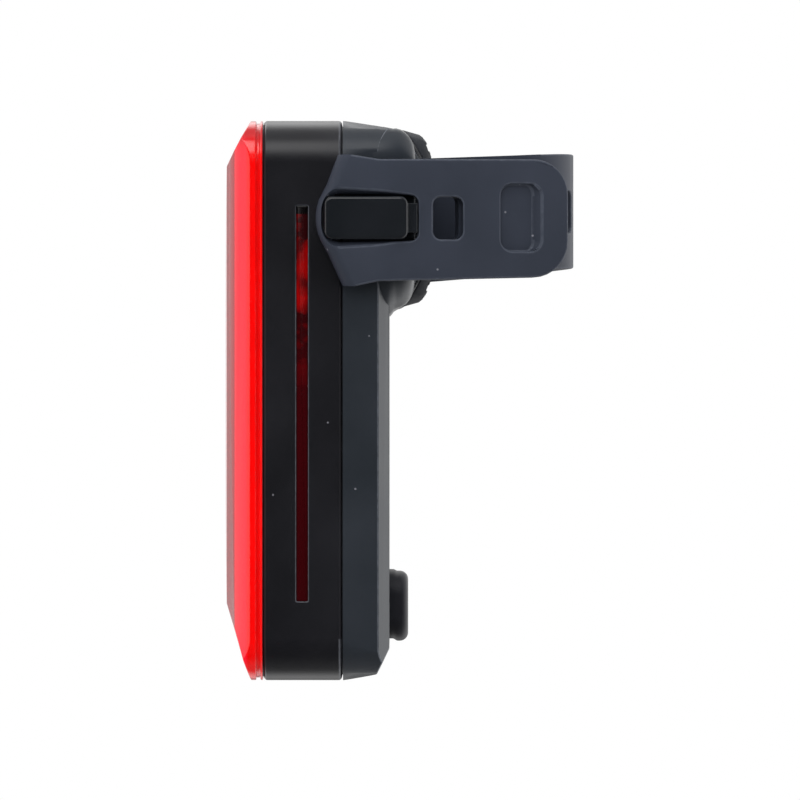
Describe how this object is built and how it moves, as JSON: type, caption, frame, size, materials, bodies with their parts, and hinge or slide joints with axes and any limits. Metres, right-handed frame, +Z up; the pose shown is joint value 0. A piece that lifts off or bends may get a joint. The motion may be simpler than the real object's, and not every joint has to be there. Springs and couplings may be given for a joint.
{
  "type": "bicycle rear light with seat post strap",
  "caption": "Tall red rear light for a bicycle with side light windows, a rear power button and a rubber strap that hooks round the seat post.",
  "frame": {"origin": "on the seat post's axis, at the middle height of the strap", "axes": "+Z up along the seat post, -X the way the lens faces, +X through the post to the back of the strap loop, -Y the side of the strap's free end"},
  "size_m": [0.0615, 0.048, 0.0979],
  "materials": {
    "red_lens": "glossy",
    "clear_optic": "glossy",
    "white_tray": "matte",
    "circuit_board": "satin",
    "lamp_chip": "glossy",
    "black_housing": "satin",
    "grey_cover": "satin",
    "black_gloss": "glossy",
    "black_rubber": "matte",
    "strap_silicone": "matte",
    "steel": "satin",
    "cell_foil": "satin"
  },
  "bodies": {
    "light": {"front_lens": "red_lens", "lens_seal": "black_rubber", "inner_optic": "clear_optic", "reflector": "white_tray", "led_board": "circuit_board", "main_housing": "black_housing", "side_window_right": "red_lens", "side_window_left": "red_lens", "housing_gasket": "black_rubber", "back_cover": "grey_cover", "main_board": "circuit_board", "board_link": "black_gloss", "charge_connector": "steel", "port_anchor": "black_rubber", "tact_switch": "black_gloss", "battery_cell": "cell_foil", "battery_tray": "black_housing", "battery_pad": "black_rubber", "cover_screw_right": "steel", "cover_screw_left": "steel", "strap_bracket": "black_gloss", "bracket_screw_top": "steel", "bracket_screw_bottom": "steel", "mount_pad": "black_rubber", "strap_root": "strap_silicone", "led_1": "lamp_chip", "led_2": "lamp_chip", "led_3": "lamp_chip", "led_4": "lamp_chip", "led_5": "lamp_chip", "led_6": "lamp_chip", "led_7": "lamp_chip", "led_8": "lamp_chip"},
    "button": {"power_button": "black_rubber", "switch_plunger": "white_tray"},
    "port_flap": {"port_cover": "black_rubber"},
    "strap_loop": {"strap_run": "strap_silicone"},
    "strap_free_end": {"strap_tail": "strap_silicone"}
  },
  "joints": [
    {"name": "button_press", "type": "slide", "parent": "light", "child": "button", "axis": [-1, 0, 0], "range_m": [0, 0.0006], "stiffness_N_per_m": 500},
    {"name": "port_cover_hinge", "type": "hinge", "parent": "light", "child": "port_flap", "pos_m": [-0.0184, 0.007, -0.038], "axis": [0, 0, 1], "range_deg": [0, 100], "stiffness_Nm_per_rad": 0.001},
    {"name": "strap_loop_hinge", "type": "hinge", "parent": "light", "child": "strap_loop", "pos_m": [0.00969, -0.00969, 0], "axis": [0, 0, 1], "range_deg": [0, 60], "stiffness_Nm_per_rad": 0.01},
    {"name": "strap_end_hinge", "type": "hinge", "parent": "strap_loop", "child": "strap_free_end", "pos_m": [-0.02625, -0.0227, 0], "axis": [0, 0, -1], "range_deg": [0, 90], "stiffness_Nm_per_rad": 0.005}
  ]
}
